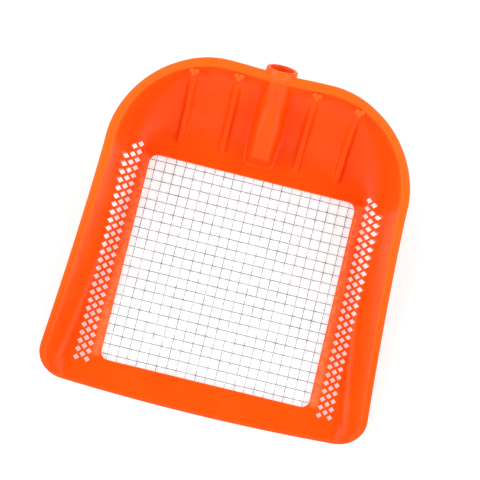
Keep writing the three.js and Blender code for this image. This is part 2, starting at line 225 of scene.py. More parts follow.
# Fineness of the pan's mesh: number of cuts in each stretch of its outline, spacing of
# the cuts along the rear wall, and points along each part of a cut.
FAN_CUTS = 44
SIDE_CUTS = 46
CORNER_CUTS = 34
LIP_CUTS = 26
FINE_SPACING = 0.5
COARSE_SPACING = 1.6
OUTER_SPACING = 1.4
# Spacing along the inner face, as (end, spacing) stretches.
FACE_STRETCHES = ((5, 2.5), (22, 0.55), (90, 2.2), (113, 0.9))
OUTER_POINTS = 26
ROUND_POINTS = 6
STRAIGHT_POINTS = 6


# ------------------------------------------------------------------ small helpers


def mix(a, b, t):
    return a + (b - a) * t


def smoothstep(a, b, x):
    t = np.clip((x - a) / (b - a), 0, 1)
    return t * t * (3 - 2 * t)


def smooth_min(a, b, k):
    h = np.clip(0.5 + (b - a) / (2 * k), 0, 1)
    return mix(b, a, h) - k * h * (1 - h)


def add_object(name, points, faces):
    """A mesh object from points in millimetres and lists of point numbers."""
    mesh = bpy.data.meshes.new(name)
    mesh.from_pydata(to_frame(points).tolist(), [], faces)
    mesh.update()
    piece = bpy.data.objects.new(name, mesh)
    bpy.context.scene.collection.objects.link(piece)
    return piece


def ring_faces(rows, columns, close_rows=False, close_columns=True):
    """Quads over a grid of points; rows follow each other, columns run round a ring."""
    row = np.arange(rows if close_rows else rows - 1)
    column = np.arange(columns if close_columns else columns - 1)
    r, c = np.meshgrid(row, column, indexing="ij")
    this, after = r * columns, (r + 1) % rows * columns
    c2 = (c + 1) % columns
    quads = np.stack([this + c, after + c, after + c2, this + c2], -1)
    return quads.reshape(-1, 4).tolist()


def capped_faces(rows, columns):
    """The faces of a tube of rings, closed at both ends."""
    last = (rows - 1) * columns
    ends = [list(range(columns)), [last + i for i in range(columns)][::-1]]
    return ring_faces(rows, columns) + ends


def outward(piece):
    """Turns every face of a closed mesh outwards."""
    bm = bmesh.new()
    bm.from_mesh(piece.data)
    bmesh.ops.recalc_face_normals(bm, faces=bm.faces)
    bm.to_mesh(piece.data)
    bm.free()


def combine(base, other, operation):
    """Applies a boolean of two closed meshes to the first and deletes the second."""
    modifier = base.modifiers.new("combine", "BOOLEAN")
    modifier.object = other
    modifier.operation = operation
    modifier.solver = "MANIFOLD"
    depsgraph = bpy.context.evaluated_depsgraph_get()
    result = bpy.data.meshes.new_from_object(base.evaluated_get(depsgraph))
    base.modifiers.remove(modifier)
    base.data = result
    bpy.data.objects.remove(other)


def smooth_by_angle(piece, degrees):
    """Smooth shading, with edges sharper than the angle kept crisp."""
    bm = bmesh.new()
    bm.from_mesh(piece.data)
    limit = math.radians(degrees)
    for face in bm.faces:
        face.smooth = True
    for edge in bm.edges:
        edge.smooth = len(edge.link_faces) == 2 and edge.calc_face_angle(0) < limit
    bm.to_mesh(piece.data)
    bm.free()


# ------------------------------------------------------------------ plan of the pan

REAR_CORNER_Y = REAR_Y - REAR_CORNER
SIDE_REAR_X = REAR_STRAIGHT_X + REAR_CORNER
SIDE_SLOPE = math.atan(SIDE_SPREAD * SIDE_BOW / (REAR_CORNER_Y - SIDE_FRONT_Y))
FRONT_CENTRE = (
    SIDE_REAR_X + SIDE_SPREAD - FRONT_CORNER * math.cos(SIDE_SLOPE),
    SIDE_FRONT_Y - FRONT_CORNER * math.sin(SIDE_SLOPE),
)
CREST_CORNER = REAR_CORNER - FLANGE_REAR
FAN_START = math.asin((FAN_X - REAR_STRAIGHT_X) / CREST_CORNER)
CREASE_X = FLOOR_SIDE_X + FLOOR_SPREAD
FRONT_CREST_X = SIDE_REAR_X + SIDE_SPREAD - FLANGE_FRONT
FRONT_END = -math.pi / 2 + LIP_END_TILT


def cuts(floor, crest, rim, height, slope):
    """Cuts through the pan, one per row: floor edge, crest, rim edge, height, slope."""
    columns = [*floor, *crest, *rim, height, slope]
    return np.stack(np.broadcast_arrays(*columns), -1).astype(float)


def rear_cuts(x):
    y = REAR_Y - REAR_SAG * np.cos(math.pi / 2 * x / REAR_STRAIGHT_X) ** 2
    return cuts((x, FLOOR_REAR_Y), (x, y - FLANGE_REAR), (x, y), WALL_REAR, SLOPE_REAR)


def rear_corner_cuts(angle):
    sin, cos, share = np.sin(angle), np.cos(angle), angle / (math.pi / 2)
    crest = (REAR_STRAIGHT_X + CREST_CORNER * sin, REAR_CORNER_Y + CREST_CORNER * cos)
    rim = (REAR_STRAIGHT_X + REAR_CORNER * sin, REAR_CORNER_Y + REAR_CORNER * cos)
    fan = np.clip((angle - FAN_START) / (math.pi / 2 - FAN_START), 0, 1) * math.pi / 2
    fan_x = FAN_X + (FLOOR_SIDE_X - FAN_X) * np.sin(fan)
    fan_y = REAR_CORNER_Y + (FLOOR_REAR_Y - REAR_CORNER_Y) * np.cos(fan)
    straight = angle <= FAN_START
    floor = (np.where(straight, crest[0], fan_x), np.where(straight, FLOOR_REAR_Y, fan_y))
    height = mix(WALL_REAR, WALL_SIDE, share ** 2)
    return cuts(floor, crest, rim, height, mix(SLOPE_REAR, SLOPE_SIDE, share))


def side_cuts(share):
    y = mix(REAR_CORNER_Y, SIDE_FRONT_Y, share)
    rim_x = SIDE_REAR_X + SIDE_SPREAD * share ** SIDE_BOW
    crest_x = rim_x - mix(FLANGE_REAR, FLANGE_FRONT, share)
    floor_x = FLOOR_SIDE_X + FLOOR_SPREAD * share ** FLOOR_BOW
    height = mix(WALL_FRONT, WALL_SIDE, (1 - share) ** WALL_FALL)
    slope = mix(SLOPE_SIDE, SLOPE_FRONT, share)
    return cuts((floor_x, y), (crest_x, y), (rim_x, y), height, slope)


def front_corner_cuts(share):
    angle = mix(SIDE_SLOPE, FRONT_END, share)
    out_x, out_y = np.cos(angle), np.sin(angle)
    flange = mix(FLANGE_FRONT, EDGE_MIN, share)
    rim_x = np.minimum(FRONT_CENTRE[0] + FRONT_CORNER * out_x, SIDE_REAR_X + SIDE_SPREAD)
    rim = (rim_x, FRONT_CENTRE[1] + FRONT_CORNER * out_y)
    crest = (rim[0] - flange * out_x, rim[1] - flange * out_y)
    beyond = np.maximum(0, crest[0] - CREASE_X)
    full = FRONT_CREST_X - CREASE_X
    width = np.clip(beyond / out_x, LIP_BAND, full)
    floor = (crest[0] - width * out_x, crest[1] - width * out_y)
    height = WALL_FRONT * beyond / full * mix(1, WALL_CORNER_KEEP, share)
    return cuts(floor, crest, rim, height, SLOPE_FRONT)


LIP_END_X = FRONT_CENTRE[0] + FRONT_CORNER * math.cos(FRONT_END)
LIP_END_Y = FRONT_CENTRE[1] + FRONT_CORNER * math.sin(FRONT_END)


def lip_cuts(x):
    y = LIP_Y + (LIP_END_Y - LIP_Y) * (x / LIP_END_X) ** 2
    floor = (x, y + EDGE_MIN + LIP_BAND)
    return cuts(floor, (x, y + EDGE_MIN), (x, y), 0.0, SLOPE_FRONT)


def steps(*stretches):
    """Values through (end, spacing) stretches from zero, with finer spacing where asked."""
    values = [0.0]
    for end, spacing in stretches:
        count = max(1, round((end - values[-1]) / spacing))
        values += np.linspace(values[-1], end, count + 1)[1:].tolist()
    return np.array(values)


def rear_positions():
    """Places across the rear wall: fine over the socket's web and the ribs."""
    web = NOSE_CORNER + SOCKET_MOUTH_R + 1
    inner, outer = RIB_X
    reach = RIB_HALF_BASE + 1.3
    return steps(
        (web, FINE_SPACING), (inner - reach, COARSE_SPACING), (inner + reach, FINE_SPACING),
        (outer - reach, COARSE_SPACING), (outer + reach, FINE_SPACING), (FAN_X, OUTER_SPACING),
    )


def pan_cuts():
    """All cuts round the pan, clockwise from the middle of the rear."""
    x = rear_positions()
    rear = rear_cuts(x[x <= REAR_STRAIGHT_X])
    arc_x = x[x > REAR_STRAIGHT_X]
    arc = rear_corner_cuts(np.arcsin((arc_x - REAR_STRAIGHT_X) / CREST_CORNER))
    fan = rear_corner_cuts(np.linspace(FAN_START, math.pi / 2, FAN_CUTS)[1:])
    side = side_cuts(np.linspace(0, 1, SIDE_CUTS)[1:])
    corner = front_corner_cuts(np.linspace(0, 1, CORNER_CUTS)[1:])
    lip = lip_cuts(np.linspace(LIP_END_X, 0, LIP_CUTS)[1:])
    half = np.concatenate([rear, arc, fan, side, corner, lip])
    left = half[1:-1][::-1].copy()
    left[:, [0, 2, 4]] *= -1
    return np.concatenate([half, left])


# ------------------------------------------------------------------ section of the pan


def profile_shares():
    """Shares of the fillet's angle: fine at the foot, for the nose, and at the crest."""
    arc = steps(*FACE_STRETCHES)
    return arc / arc[-1]


def wall_face(cut, share):
    """Inner face at shares of the fillet's angle: distance out, height and slope."""
    width = np.hypot(cut[:, 2] - cut[:, 0], cut[:, 3] - cut[:, 1])[:, None]
    height, slope = cut[:, 6:7], cut[:, 7:8]
    shape_height = np.maximum(height, WALL_FADE)
    squash = height / shape_height
    radius = (width * np.sin(slope) - shape_height * np.cos(slope)) / (1 - np.cos(slope))
    phi = slope * share[None, :]
    return {
        "out": radius * np.sin(phi),
        "up": radius * (1 - np.cos(phi)) * squash,
        "slope": np.arctan(np.tan(phi) * squash),
        "run": radius * phi,
        "width": width,
        "squash": squash,
    }


def rounded(points, radii, count):
    """Replaces inner points of a polyline by small arcs. points is (rows, corners, 2)."""
    result = [points[:, :1]]
    t = np.linspace(0, 1, count)[None, :, None]
    for i, radius in enumerate(radii, start=1):
        before, at, after = points[:, i - 1:i], points[:, i:i + 1], points[:, i + 1:i + 2]
        to_before, to_after = before - at, after - at
        reach_before = np.linalg.norm(to_before, axis=-1, keepdims=True)
        reach_after = np.linalg.norm(to_after, axis=-1, keepdims=True)
        radius = np.reshape(radius, (-1, 1, 1))
        reach = np.minimum(radius, 0.45 * np.minimum(reach_before, reach_after))
        start = at + to_before / reach_before * reach
        end = at + to_after / reach_after * reach
        result.append((1 - t) ** 2 * start + 2 * t * (1 - t) * at + t ** 2 * end)
    return np.concatenate(result, axis=1)


def web_lift(x, y, wall):
    """Height of the socket's web over the wall: drafted sides, steep nose, filleted foot."""
    depth = (SOCKET_MOUTH[1] - y) / math.cos(SOCKET_RISE)
    axis = SOCKET_MOUTH[2] - depth * math.sin(SOCKET_RISE)
    radius = tube_radius(depth) - WEB_SINK * smoothstep(*WEB_SINK_Y, y)
    drafted = radius + np.maximum(0, axis - wall - WEB_FILLET) * math.tan(WEB_DRAFT)
    half = smooth_min(drafted, NOSE_HALF + WEB_TAPER * (y - NOSE_BASE_Y), WEB_HALF_BLEND)
    half = np.maximum(half, radius)
    from_side = np.abs(x) - (half - NOSE_CORNER)
    from_nose = NOSE_BASE_Y + NOSE_CORNER - y
    outside = np.hypot(np.maximum(from_side, 0), np.maximum(from_nose, 0))
    distance = outside + np.minimum(np.maximum(from_side, from_nose), 0) - NOSE_CORNER
    sideways = smoothstep(-NOSE_TURN, NOSE_TURN, from_side - from_nose)
    draft = mix(NOSE_DRAFT, WEB_DRAFT, sideways)
    span = WEB_FILLET * np.cos(draft)
    reach = np.clip(span - distance, 0, span)
    foot = WEB_FILLET - np.sqrt(WEB_FILLET ** 2 - reach ** 2)
    climb = np.maximum(axis - wall - WEB_FILLET * (1 - math.sin(WEB_DRAFT)), 0)
    flank = np.maximum(half - radius, WEB_MIN_FLANK)
    steepness = np.maximum(1 / math.tan(WEB_DRAFT), climb / flank)
    side = foot + np.maximum(half - np.abs(x), 0) * steepness
    nose = foot + np.maximum(y - NOSE_BASE_Y, 0) / math.tan(NOSE_DRAFT)
    power = mix(CROWN_SQUARENESS, 2, smoothstep(*CROWN_ROUND_Y, y))
    inside = np.maximum(1 - (np.abs(x) / radius) ** power, 0)
    crown = axis + radius * inside ** (1 / power) / math.cos(SOCKET_RISE) - wall
    crown = np.where(np.abs(x) < radius, crown, axis - wall)
    flanks = smooth_min(side, nose, NOSE_EDGE_ROUND)
    top = smooth_min(flanks, np.maximum(crown, 0), CROWN_EDGE_ROUND)
    lift = np.where(distance < 0, np.maximum(top, 0), foot)
    return lift * (1 - smoothstep(*WEB_FADE_Y, y))


def rib_lift(x, run):
    """Height of the ribs along the wall's normal."""
    total = np.zeros_like(run)
    for centre in RIB_X:
        across = np.abs(np.abs(x) - centre)
        along = np.maximum(RIB_START + RIB_HALF_BASE - run, 0)
        distance = RIB_HALF_BASE - np.hypot(across, along)
        flank = RIB_HALF_BASE - RIB_HALF_CROWN
        share = mix(RIB_EDGE_SHARE, 1 - RIB_EDGE_SHARE, distance / flank)
        height = RIB_HEIGHT * smoothstep(0, 1, share)
        total += np.where(distance > 0, height, 0) * (1 - smoothstep(RIB_FADE, RIB_END, run))
    return total


def section_points(cut):
    """Every cut's closed section, as (cuts, points, 3), from floor edge to floor edge."""
    face = wall_face(cut, profile_shares())
    outer_share = np.linspace(0, 1, OUTER_POINTS)
    outer_face = wall_face(cut, outer_share)
    squash, width = face["squash"], face["width"]
    height, slope = cut[:, 6:7], cut[:, 7:8]
    crest_thickness = mix(FLOOR_TOP, WALL_THICKNESS, squash)
    top_slope = np.arctan(np.tan(slope) * squash)

    inner = np.stack([face["out"], face["up"]], -1)
    thickness = mix(FLOOR_TOP, crest_thickness, outer_share[None, :])
    outer = np.stack([
        outer_face["out"] + thickness * np.sin(outer_face["slope"]),
        outer_face["up"] - thickness * np.cos(outer_face["slope"]),
    ], -1)

    below = np.maximum(0, FLANGE_THICKNESS - crest_thickness * np.cos(top_slope))
    lowered = np.where(below > 0, below / np.tan(np.maximum(top_slope, 0.01)), 0)
    under_up = height - crest_thickness * np.cos(top_slope) - below
    under_out = width + crest_thickness * np.sin(top_slope) - lowered
    flange = np.hypot(cut[:, 4] - cut[:, 2], cut[:, 5] - cut[:, 3])[:, None]
    drop = mix(LIP_BEVEL, RIM_DROP, squash)
    corners = np.stack([
        inner[:, -1],
        np.concatenate([width, height], -1),
        np.concatenate([width + flange, height - drop], -1),
        np.concatenate([width + flange, under_up], -1),
        np.concatenate([under_out, under_up], -1),
        outer[:, -1],
    ], 1)
    crest_radius = mix(CREST_ROUND_FRONT, CREST_ROUND_REAR, np.clip(height / WALL_SIDE, 0, 1))
    rim = rounded(corners, (crest_radius, *RIM_ROUNDS), ROUND_POINTS)[:, 1:]
    straight = np.linspace(0, 1, STRAIGHT_POINTS)[None, 1:-1, None]
    wall_end = mix(inner[:, -1:], rim[:, :1], straight)
    outline = np.concatenate([inner, wall_end, rim, outer[:, ::-1]], 1)

    towards = cut[:, 2:4] - cut[:, 0:2]
    towards = towards / np.linalg.norm(towards, axis=1, keepdims=True)
    plan = cut[:, None, 0:2] + outline[:, :, :1] * towards[:, None, :]
    points = np.concatenate([plan, outline[:, :, 1:] + FLOOR_TOP], -1)
    return raise_details(cut, points, face, towards, inner.shape[1] + straight.shape[1])


def raise_details(cut, points, face, towards, inner_count):
    """Adds the ribs and the socket's web to the rear wall's inner points."""
    rear = (cut[:, 1] > REAR_CORNER_Y)[:, None]
    inner = points[:, :inner_count]
    lengths = np.linalg.norm(np.diff(inner, axis=1), axis=-1)
    run = np.concatenate([np.zeros((len(cut), 1)), np.cumsum(lengths, 1)], 1)
    slope = np.concatenate([
        face["slope"],
        np.repeat(face["slope"][:, -1:], inner_count - face["slope"].shape[1], 1),
    ], 1)
    x = inner[:, :, 0]
    lift = np.where(rear, rib_lift(x, run), 0)
    inner[:, :, :2] -= (lift * np.sin(slope))[:, :, None] * towards[:, None, :]
    inner[:, :, 2] += lift * np.cos(slope)
    web = web_lift(inner[:, :, 0], inner[:, :, 1], inner[:, :, 2])
    inner[:, :, 2] += np.where(rear & (np.abs(x) < REAR_STRAIGHT_X), web, 0)
    return points


def pan_object():
    """The pan as one closed mesh, before its openings are cut."""
    points = section_points(pan_cuts())
    rows, columns = points.shape[:2]
    faces = ring_faces(rows, columns, close_rows=True, close_columns=False)
    top = [row * columns for row in range(rows)]
    bottom = [row * columns + columns - 1 for row in range(rows)]
    piece = add_object("scoop_moulding", points.reshape(-1, 3), [*faces, top[::-1], bottom])
    outward(piece)
    return piece


# ------------------------------------------------------------------ socket


def tube_radius(depth):
    return mix(SOCKET_MOUTH_R - COLLAR_STEP, SOCKET_NOSE_R, depth / SOCKET_LENGTH)


def lathe_object(name, profile):
    """A closed solid of revolution on the socket's axis. profile is (radius, depth)."""
    angle = np.linspace(0, 2 * math.pi, LATHE_SEGMENTS, endpoint=False)
    profile = np.array(profile)
    radius, depth = profile[:, :1], profile[:, 1:]
    along = np.array([0, -math.cos(SOCKET_RISE), -math.sin(SOCKET_RISE)])
    up = np.array([0, -math.sin(SOCKET_RISE), math.cos(SOCKET_RISE)])
    side = np.array([1.0, 0, 0])
    ring = np.cos(angle)[None, :, None] * side + np.sin(angle)[None, :, None] * up
    points = SOCKET_MOUTH + depth[:, :, None] * along + radius[:, :, None] * ring
    faces = capped_faces(len(profile), LATHE_SEGMENTS)
    piece = add_object(name, points.reshape(-1, 3), faces)
    outward(piece)
    return piece


def socket_tube():
    """The tube from its mouth to where it sinks into its web."""
    profile = [
        (BORE_MOUTH_R, 0.0),
        (SOCKET_MOUTH_R - MOUTH_CHAMFER, 0.0),
        (SOCKET_MOUTH_R - 0.34, 0.34),
        (SOCKET_MOUTH_R, MOUTH_CHAMFER),
        (SOCKET_MOUTH_R, COLLAR_LENGTH - 0.6),
        (SOCKET_MOUTH_R - 0.15, COLLAR_LENGTH),
        (tube_radius(COLLAR_LENGTH) + 0.1, COLLAR_LENGTH + 0.6),
    ]
    for depth in np.linspace(COLLAR_LENGTH + 1.6, TUBE_END, TUBE_RINGS):
        sink = TUBE_SINK * smoothstep(TUBE_SINK_FROM, TUBE_END, depth)
        profile.append((tube_radius(depth) - sink, depth))
    return lathe_object("tube", profile)


def socket_bore():
    """The bore's cutter, with a rounded edge at the mouth and a rounded bottom."""
    profile = [
        (BORE_MOUTH_R + 3, -3.0),
        (BORE_MOUTH_R + 0.7, -0.1),
        (BORE_MOUTH_R + 0.2, 0.3),
        (BORE_MOUTH_R, 0.9),
        (BORE_END_R, BORE_DEPTH - 2.5),
        (BORE_END_R - 0.8, BORE_DEPTH - 0.8),
        (BORE_END_R - 2.5, BORE_DEPTH),
    ]
    return lathe_object("bore", profile)


# ------------------------------------------------------------------ bumps under the rim


def lobe_object(radius, centre):
    """One rounded lobe, a little longer downwards so that it runs into the wall."""
    polar = np.linspace(0, math.pi, LOBE_RINGS + 2)[1:-1]
    angle = np.linspace(0, 2 * math.pi, LOBE_SEGMENTS, endpoint=False)
    p, a = np.meshgrid(polar, angle, indexing="ij")
    stretch = np.where(np.cos(p) < 0, LOBE_STRETCH_DOWN, LOBE_STRETCH_UP)
    shape = np.stack([np.sin(p) * np.cos(a), np.sin(p) * np.sin(a), stretch * np.cos(p)], -1)
    points = np.array(centre) + radius * shape
    faces = capped_faces(LOBE_RINGS, LOBE_SEGMENTS)
    piece = add_object("lobe", points.reshape(-1, 3), faces)
    outward(piece)
    return piece


def rear_cut_at(x):
    """The cut through the rear wall at one place, on either side."""
    offset = abs(x)
    if offset <= REAR_STRAIGHT_X:
        return rear_cuts(np.array([offset]))[0]
    return rear_corner_cuts(np.array([math.asin((offset - REAR_STRAIGHT_X) / CREST_CORNER)]))[0]


def bump_places():
    """Where each bump meets the wall's crest."""
    cuts_there = [(x, rear_cut_at(x)) for x in (*RIB_X, *(-x for x in RIB_X))]
    return [(x, cut[3], FLOOR_TOP + cut[6] - BUMP_BELOW_RIM) for x, cut in cuts_there]


def bump_lobes():
    """Two lobes against the wall and a smaller one in front of them, over each rib."""
    lobes = []
    for x, y, z in bump_places():
        for shift in (-BUMP_SPREAD, BUMP_SPREAD):
            lobes.append(lobe_object(BUMP_RADIUS, (x + shift, y - BUMP_REACH, z)))
        lobes.append(lobe_object(POINT_RADIUS, (x, y - POINT_REACH, z)))
    return lobes


# ------------------------------------------------------------------ openings


def window_cutter():
    """Rounded window, flared by a small radius where it meets the floor's top."""
    corner = np.linspace(0, math.pi / 2, WINDOW_CORNER_POINTS)
    points = []
    for height, flare in WINDOW_LEVELS:
        radius = WINDOW_CORNER + flare
        for quarter, (sx, sy) in enumerate(((1, 1), (-1, 1), (-1, -1), (1, -1))):
            cx = sx * (WINDOW_HALF[0] - WINDOW_CORNER)
            cy = sy * (WINDOW_HALF[1] - WINDOW_CORNER)
            for a in corner + quarter * math.pi / 2:
                points.append((cx + radius * math.cos(a), cy + radius * math.sin(a), height))
    levels = len(WINDOW_LEVELS)
    piece = add_object("window", points, capped_faces(levels, len(points) // levels))
    outward(piece)
    return piece


def sifting_cutters():
    """All sifting holes' cutters as one mesh of separate upright prisms."""
    reach = HOLE_SIDE / math.sqrt(2)
    corners = np.array([(reach, 0), (0, reach), (-reach, 0), (0, -reach)])
    points, faces = [], []
    for x, shift, count in HOLE_COLUMNS:
        for i in range(count):
            y = HOLE_FIRST_Y + HOLE_PITCH * (i + shift)
            for side in (-1, 1):
                base = len(points)
                for height in (HOLE_CUT_FROM, HOLE_CUT_TO):
                    points += [(side * x + cx, y + cy, height) for cx, cy in corners]
                for j in range(4):
                    k = (j + 1) % 4
                    faces.append([base + j, base + k, base + k + 4, base + j + 4])
                faces.append([base + 3, base + 2, base + 1, base])
                faces.append([base + 4, base + 5, base + 6, base + 7])
    return add_object("sifting_cutters", points, faces)


# ------------------------------------------------------------------ melted margin


def bead_surface(side):
    """The bead's lumpy upper surface, as (rows, columns, 3).

    Each noise has a scale of its own per millimetre, and a third coordinate that keeps it
    apart from the others.
    """
    points = np.zeros((BEAD_ROWS, BEAD_COLUMNS, 3))
    for i, y in enumerate(np.linspace(BEAD_FRONT, BEAD_REAR, BEAD_ROWS)):
        end_fade = min(1, (y - BEAD_FRONT) / BEAD_END_FADE, (BEAD_REAR - y) / BEAD_END_FADE)
        wander = noise.noise(Vector((side * 3.1, y * 0.11, 0.5)))
        ripple = noise.noise(Vector((side * 5.3, y * 0.45, 4.0)))
        waver = noise.noise(Vector((side * 7.7, y * 0.6, 2.0)))
        inner = BEAD_INNER + BEAD_INNER_WAVE * waver
        outer = BEAD_OUTER + BEAD_OUTER_WAVE[0] * wander + BEAD_OUTER_WAVE[1] * ripple
        for j, t in enumerate(np.linspace(0, 1, BEAD_COLUMNS)):
            x = mix(inner, outer, t)
            place = Vector((x * 0.42 * side, y * 0.30, 1.7))
            lump = 0.5 + 0.5 * noise.fractal(place, 0.8, 2.1, 3)
            pit = noise.noise(Vector((x * 0.9 * side, y * 0.75, 9.0)))
            dome = math.sin(math.pi * t) ** 0.6
            bulge = BEAD_LEAST_HEIGHT + max(0, lump) + BEAD_PIT_DEPTH * max(-0.4, pit)
            points[i, j] = (side * x, y, FLOOR_TOP - BEAD_ROOT + dome * end_fade * bulge)
    return points


def melt_bead(name, side):
    """The lumpy line of re-melted plastic along one side of the window."""
    rows, columns = BEAD_ROWS, BEAD_COLUMNS
    upper = bead_surface(side).reshape(-1, 3)
    under = upper.copy()
    under[:, 2] = FLOOR_TOP - BEAD_UNDERSIDE
    faces = ring_faces(rows, columns, close_columns=False)
    lower = [[a + len(upper) for a in face[::-1]] for face in faces]
    border = list(range(columns)) + [r * columns + columns - 1 for r in range(1, rows)]
    border += [(rows - 1) * columns + c for c in range(columns - 2, -1, -1)]
    border += [r * columns for r in range(rows - 2, 0, -1)]
    walls = []
    for a, b in zip(border, border[1:] + border[:1]):
        walls.append([a, b, b + len(upper), a + len(upper)])
    piece = add_object(name, np.concatenate([upper, under]), [*faces, *lower, *walls])
    outward(piece)
    smooth_by_angle(piece, BEAD_SMOOTH_ANGLE)
    return piece


# ------------------------------------------------------------------ woven mesh


def woven_wires(name, lengthwise):
    """All wires of one direction, each waving over and under the ones it crosses."""
    rings = int(2 * WIRE_HALF_LENGTH / MESH_PITCH * WIRE_RINGS_PER_CELL) + 1
    along = np.linspace(-WIRE_HALF_LENGTH, WIRE_HALF_LENGTH, rings)
    angle = np.linspace(0, 2 * math.pi, WIRE_SIDES, endpoint=False)
    turn = math.pi / MESH_PITCH
    seed = 3.0 if lengthwise else 8.0
    half = (WIRES_EACH_WAY - 1) // 2
    wire_faces = capped_faces(rings, WIRE_SIDES)
    points, faces = [], []
    for i in range(-half, half + 1):
        sign = 1 if (i % 2 == 0) == lengthwise else -1
        wave = sign * WIRE_WAVE * np.cos(turn * along)
        tilt = np.arctan(-sign * WIRE_WAVE * turn * np.sin(turn * along))
        stray = np.array([
            WIRE_STRAY * noise.noise(Vector((i * 1.7, a * WIRE_STRAY_PER_MM, seed)))
            for a in along
        ])
        across = i * MESH_PITCH + stray[:, None] + WIRE_RADIUS * np.cos(angle)[None, :]
        up = MESH_LEVEL + wave[:, None] + WIRE_RADIUS * np.sin(angle) * np.cos(tilt)[:, None]
        forward = along[:, None] - WIRE_RADIUS * np.sin(angle)[None, :] * np.sin(tilt)[:, None]
        order = (across, forward, up) if lengthwise else (forward, across, up)
        base = len(points) * rings * WIRE_SIDES
        points.append(np.stack(order, -1).reshape(-1, 3))
        faces += [[base + a for a in face] for face in wire_faces]
    piece = add_object(name, np.concatenate(points), faces)
    outward(piece)
    smooth_by_angle(piece, WIRE_SMOOTH_ANGLE)
    return piece


# ------------------------------------------------------------------ materials

ORANGE = (0.97, 0.089, 0.0022)
ORANGE_DEEP = (0.95, 0.077, 0.0018)
# Painted light: the thin rim lit through from below, and the highlight on the bumps.
ORANGE_PAINTED_RIM_LIGHT = (0.98, 0.135, 0.009)
ORANGE_MELTED = (1.0, 0.185, 0.060)
PLASTIC_SPECULAR = 0.16
PLASTIC_ROUGHNESS = (0.22, 0.34)
MELTED_EXTRA_ROUGHNESS = 0.16
MOTTLE_SCALE = 28
FLOW_SCALE = 60
RIPPLE_SCALE = 45
PEEL_SCALE = 420
RIPPLE_TO_PEEL = 6.0
PLASTIC_BUMP = (0.25, 0.12 * MM)
MELTED_SPAN_X = (107.0, 114.5)
MELTED_END_Y = 103.0
BLOTCH_SCALE = 190

ZINC = (0.45, 0.48, 0.52)
ZINC_DARK = (0.24, 0.26, 0.29)
ZINC_LIGHT = (0.66, 0.70, 0.75)
ZINC_ROUGHNESS = (0.5, 0.3)
ZINC_PATCH_SCALE = 160
ZINC_GRAIN_SCALE = 2500
ZINC_BUMP = (0.3, 0.04 * MM)

STUDIO_GREY = (0.6, 0.6, 0.6)
STUDIO_GREY_LOW = (0.58, 0.58, 0.58)
STUDIO_GREY_HIGH = (0.62, 0.62, 0.62)
STUDIO_GLOW = 0.5


def new_material(name, colour, roughness, metallic, ior):
    material = bpy.data.materials.new(name)
    material.use_nodes = True
    shader = material.node_tree.nodes["Principled BSDF"]
    shader.inputs["Base Color"].default_value = (*colour, 1)
    shader.inputs["Roughness"].default_value = roughness
    shader.inputs["Metallic"].default_value = metallic
    shader.inputs["IOR"].default_value = ior
    return material, material.node_tree.nodes, material.node_tree.links, shader


def noise_value(nodes, links, coordinates, scale, detail, roughness=0.5):
    """The output of a Noise Texture over the object's own coordinates."""
    node = nodes.new("ShaderNodeTexNoise")
    node.inputs["Scale"].default_value = scale
    node.inputs["Detail"].default_value = detail
    node.inputs["Roughness"].default_value = roughness
    links.new(coordinates.outputs["Object"], node.inputs["Vector"])
    return node.outputs["Fac"]


def map_range(nodes, links, source, low, high, to_low, to_high, interpolation="LINEAR"):
    node = nodes.new("ShaderNodeMapRange")
    node.interpolation_type = interpolation
    node.inputs["From Min"].default_value = low
    node.inputs["From Max"].default_value = high
    node.inputs["To Min"].default_value = to_low
    node.inputs["To Max"].default_value = to_high
    links.new(source, node.inputs["Value"])
    return node.outputs["Result"]


def math_value(nodes, links, operation, *values):
    """The output of a Math node over sockets and plain numbers."""
    node = nodes.new("ShaderNodeMath")
    node.operation = operation
    for socket, value in zip(node.inputs, values):
        if isinstance(value, (int, float)):
            socket.default_value = value
        else:
            links.new(value, socket)
    return node.outputs["Value"]


def mix_colour(nodes, links, factor, first, second):
    node = nodes.new("ShaderNodeMix")
    node.data_type = "RGBA"
    links.new(factor, node.inputs["Factor"])
    for socket, value in (("A", first), ("B", second)):
        target = [s for s in node.inputs if s.name == socket and s.type == "RGBA"][0]
        if isinstance(value, tuple):
            target.default_value = (*value, 1)
        else:
            links.new(value, target)
    return [s for s in node.outputs if s.type == "RGBA"][0]


def add_bump(nodes, links, shader, height, strength, distance):
    bump = nodes.new("ShaderNodeBump")
    bump.inputs["Strength"].default_value = strength
    bump.inputs["Distance"].default_value = distance
    links.new(height, bump.inputs["Height"])
    links.new(bump.outputs["Normal"], shader.inputs["Normal"])


def melted_margin(nodes, links, coordinates):
    """1 on the strips beside the window where the plastic was melted over the wires."""
    split = nodes.new("ShaderNodeSeparateXYZ")
    links.new(coordinates.outputs["Object"], split.inputs["Vector"])
    sizes = []
    for axis, centre in (("X", WINDOW_CENTRE[0]), ("Y", WINDOW_CENTRE[1])):
        moved = math_value(nodes, links, "SUBTRACT", split.outputs[axis], float(centre))
        sizes.append(math_value(nodes, links, "ABSOLUTE", moved))
    inner, outer = MELTED_SPAN_X
    mask = None
    for size, low, high, to_low, to_high in (
        (sizes[0], outer - 2, outer + 2.5, 1, 0),
        (sizes[0], inner - 0.4, inner + 0.8, 0, 1),
        (sizes[1], MELTED_END_Y - 2, MELTED_END_Y + 2.5, 1, 0),
    ):
        edge = map_range(nodes, links, size, low * MM, high * MM, to_low, to_high)
        mask = edge if mask is None else math_value(nodes, links, "MULTIPLY", mask, edge)
    blotches = noise_value(nodes, links, coordinates, BLOTCH_SCALE, 4, 0.6)
    share = map_range(nodes, links, blotches, 0.38, 0.6, 0.4, 1)
    return math_value(nodes, links, "MULTIPLY", mask, share)


